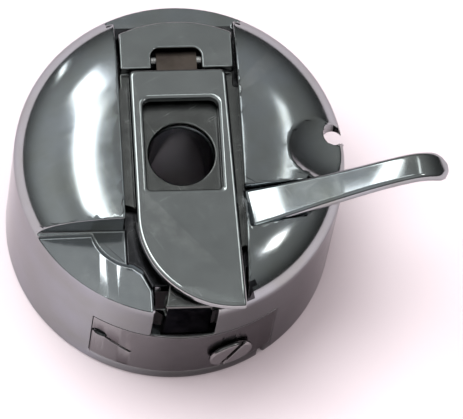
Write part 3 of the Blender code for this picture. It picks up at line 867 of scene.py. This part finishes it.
def buildScrew():
    turn, z = screw["turn"], screw["z"]
    base = leaf["innerR"] + leaf["thick"] + 0.05
    face = base + screw["headThick"]
    piece = addRod("screw_head", screw["headR"], around(base, turn, z), around(face, turn, z), 96)
    roundEdges(piece, 0.16, 4)
    shank = addRod("shank", screw["shankR"], around(10.7, turn, z), around(base + 0.2, turn, z), 48)
    combine(piece, shank, "UNION")
    deselectAll()
    slotTurn = Matrix.Rotation(math.radians(screw["slotTurn"]), 3, "X")
    tilt = Matrix.Rotation(math.radians(turn), 3, "Z") @ slotTurn
    bpy.ops.mesh.primitive_cube_add(size=1, location=place(*around(face, turn, z)), rotation=tilt.to_euler(),
                                    scale=(0.6 * mm, screw["slotWide"] * mm, 4 * mm))
    combine(piece, freeze("slot"))
    roundEdges(piece, 0.04, 2, 50)
    smooth(piece)
    return finishPiece(piece, "tension_screw", ["tension_adjusting_screw"], "screwSteel")


# ---- latch spring, a fine coil along the slot of the slide

coil = {"radius": 0.42, "wire": 0.1, "turns": 6, "startY": -5.43, "endY": -8.44, "z": 13.44, "keep": 0.72}


def buildCoil():
    deselectAll()
    start = place(coil["radius"], coil["startY"], coil["z"])
    bpy.ops.mesh.primitive_circle_add(vertices=12, radius=coil["wire"] * mm, location=start)
    piece = freeze("latch_coil")
    # wind the ring round the coil's own line, which runs along y
    centre = place(0, coil["startY"], coil["z"])
    piece.location = -centre
    deselectAll()
    piece.select_set(True)
    bpy.context.view_layer.objects.active = piece
    bpy.ops.object.transform_apply(location=True)
    winding = piece.modifiers.new("winding", "SCREW")
    winding.axis = "Y"
    winding.steps = winding.render_steps = 28
    winding.iterations = coil["turns"]
    winding.screw_offset = (coil["endY"] - coil["startY"]) * mm / coil["turns"]
    applyAll(piece)
    piece.location = centre
    bpy.ops.object.transform_apply(location=True)
    edit(piece)
    bpy.ops.mesh.fill_holes(sides=0)
    bpy.ops.mesh.normals_make_consistent(inside=False)
    leaveEdit()
    smooth(piece, 60)
    finishPiece(piece, "case", ["latch_spring"], "springSteel")
    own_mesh(piece)
    return piece


print("cup")
buildCup()
print("tube, finger, latch")
buildTube()
buildFinger()
buildSlide()
buildLever()
print("leaf, screw, coil")
buildLeaf()
buildScrew()
buildCoil()

for name in ("latch_hinge_pin", "slide_stop_pin", "finger_rivet_front", "finger_rivet_rear"):
    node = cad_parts[name]
    node.data.materials.clear()
    node.data.materials.append(materials["brightSteel"])

# ---- floor, light and camera

print("stage")
floorLook = {"size": 3.0, "tone": (0.93, 0.85, 0.885), "dark": (0.90, 0.82, 0.855)}


def floorFinish():
    finish = Finish("paleBoard")
    spot = finish.node("ShaderNodeTexCoord", output=3)
    grain = finish.noise(spot, 1400.0, 4.0)
    blotch = finish.noise(spot, 40.0, 2.0)
    tone = finish.mixColour(blotch, colour(floorLook["dark"]), colour(floorLook["tone"]))
    finish.shaderInput("Base Color", tone)
    finish.shaderInput("Roughness", 0.6 + grain * 0.2)
    relief = finish.node("ShaderNodeBump", None, {"Strength": 0.05, "Distance": 0.0001, "Height": grain})
    finish.shaderInput("Normal", relief)
    return finish.material


deselectAll()
bpy.ops.mesh.primitive_plane_add(size=floorLook["size"], location=(0, 0, 0))
floor = freeze("floor")
floor.data.materials.append(floorFinish())

# soft lights: the first two only light things, the others are what the polished metal mirrors
target = place(0, 0, 12)
lights = {
    "key": {"towards": (-0.27, 0.22, 0.94), "along": (0, 0, 1), "far": 0.9,
            "size": (0.5, 0.5), "power": 6.2, "tone": (1.0, 1.0, 1.0), "mirrored": False},
    "fill": {"towards": (0.0, 0.0, 1.0), "along": (0, 1, 0), "far": 1.0,
            "size": (2.4, 2.4), "power": 12.5, "tone": (1.0, 0.84, 0.87), "mirrored": False},
    "windowNear": {"towards": (-0.185, 0.30, 0.92), "along": (0.235, 0.94, -0.25), "far": 0.6,
            "size": (0.10, 0.25), "power": 0.30, "tone": (0.96, 1.0, 1.0), "mirrored": True},
    "windowFar": {"towards": (-0.21, 0.57, 0.79), "along": (-0.6, 0.7, -0.65), "far": 0.6,
            "size": (0.09, 0.15), "power": 0.16, "tone": (0.96, 1.0, 1.0), "mirrored": True},
    "windowSill": {"towards": (-0.49, 0.82, 0.29), "along": (-0.3, 0.2, 0.9), "far": 0.6,
            "size": (0.03, 0.12), "power": 0.05, "tone": (0.96, 1.0, 1.0), "mirrored": True},
    "lampAbove": {"towards": (-0.03, 0.05, 0.99), "along": (0, 1, 0), "far": 0.6,
            "size": (0.2, 0.06), "power": 0.10, "tone": (0.96, 1.0, 1.0), "mirrored": True},
    "lampRight": {"towards": (0.549, -0.158, 0.82), "along": (0, 1, 0), "far": 0.6,
            "size": (0.085, 0.085), "power": 0.13, "tone": (1.0, 1.0, 1.0), "mirrored": True},
    "paneRight": {"towards": (0.395, 0.34, 0.85), "along": (0.0, 0.85, -0.4), "far": 0.6,
            "size": (0.045, 0.24), "power": 0.08, "tone": (0.96, 1.0, 1.0), "mirrored": True},
}
for name, look in lights.items():
    deselectAll()
    towards = Vector(look["towards"]).normalized()
    across = Vector(look["along"]).cross(towards).normalized()
    turn = Matrix((across, towards.cross(across), towards)).transposed()
    bpy.ops.object.light_add(type="AREA", location=target + towards * look["far"], rotation=turn.to_euler())
    light = bpy.context.object
    light.name = name
    light.data.shape = "RECTANGLE"
    light.data.size, light.data.size_y = look["size"]
    light.data.energy = look["power"]
    light.data.color = look["tone"]
    light.visible_glossy = look["mirrored"]
    light.visible_diffuse = not look["mirrored"]

# the room that the metal mirrors, from straight down to straight up, and lighter on the left
room = {
    "stops": [(0.0, 0.9), (0.49, 0.06), (0.55, 0.10), (0.65, 0.18), (0.80, 0.38), (0.90, 0.45), (0.96, 0.34)],
    "red": 0.97, "sideways": -0.5,
}
world = bpy.data.worlds.new("softRoom")
bpy.context.scene.world = world
world.use_nodes = True
sky = Board(world.node_tree)
background = sky.tree.nodes["Background"]
sideways, ahead, high = sky.axes(sky.node("ShaderNodeTexCoord", output=0))   # Generated
lift = sky.node("ShaderNodeMath", {"operation": "MULTIPLY_ADD"}, {0: high, 1: 0.5, 2: 0.5})
shades = [(spot, (shade * room["red"], shade, shade)) for spot, shade in room["stops"]]
sky.feed(background.inputs["Color"], sky.node("ShaderNodeValToRGB", {"stops": shades}, {0: lift}))
side = sky.node("ShaderNodeMath", {"operation": "MULTIPLY_ADD"}, {0: sideways, 1: room["sideways"], 2: 1.0})
sky.feed(background.inputs["Strength"], side)

# degrees and millimetres: how wide the picture is at the case, and how far its middle is from the case axis
view = {
    "azimuth": -13.93, "elevation": 67.84, "roll": 11.52, "distance": 488.73, "wide": 32.4,
    "aside": 4.008, "below": 1.416, "aimZ": 7,
}
azimuth, elevation, roll = (math.radians(view[key]) for key in ("azimuth", "elevation", "roll"))
level = math.cos(elevation)
back = Vector((math.sin(azimuth) * level, -math.cos(azimuth) * level, math.sin(elevation)))
flatRight = Vector((math.cos(azimuth), math.sin(azimuth), 0))
flatUp = back.cross(flatRight)
right = flatRight * math.cos(roll) + flatUp * math.sin(roll)
up = back.cross(right)
aim = place(0, 0, view["aimZ"]) + (right * view["aside"] - up * view["below"]) * mm
bpy.ops.object.camera_add()
camera = bpy.context.object
turn = Matrix((right, up, back)).transposed().to_4x4()
camera.matrix_world = Matrix.Translation(aim + back * view["distance"] * mm) @ turn
camera.data.sensor_width = 36
camera.data.lens = camera.data.sensor_width * view["distance"] / view["wide"]
camera.data.clip_start = 0.01
camera.data.clip_end = 20
bpy.context.scene.camera = camera
bpy.context.scene.view_settings.view_transform = "Standard"

print("done")
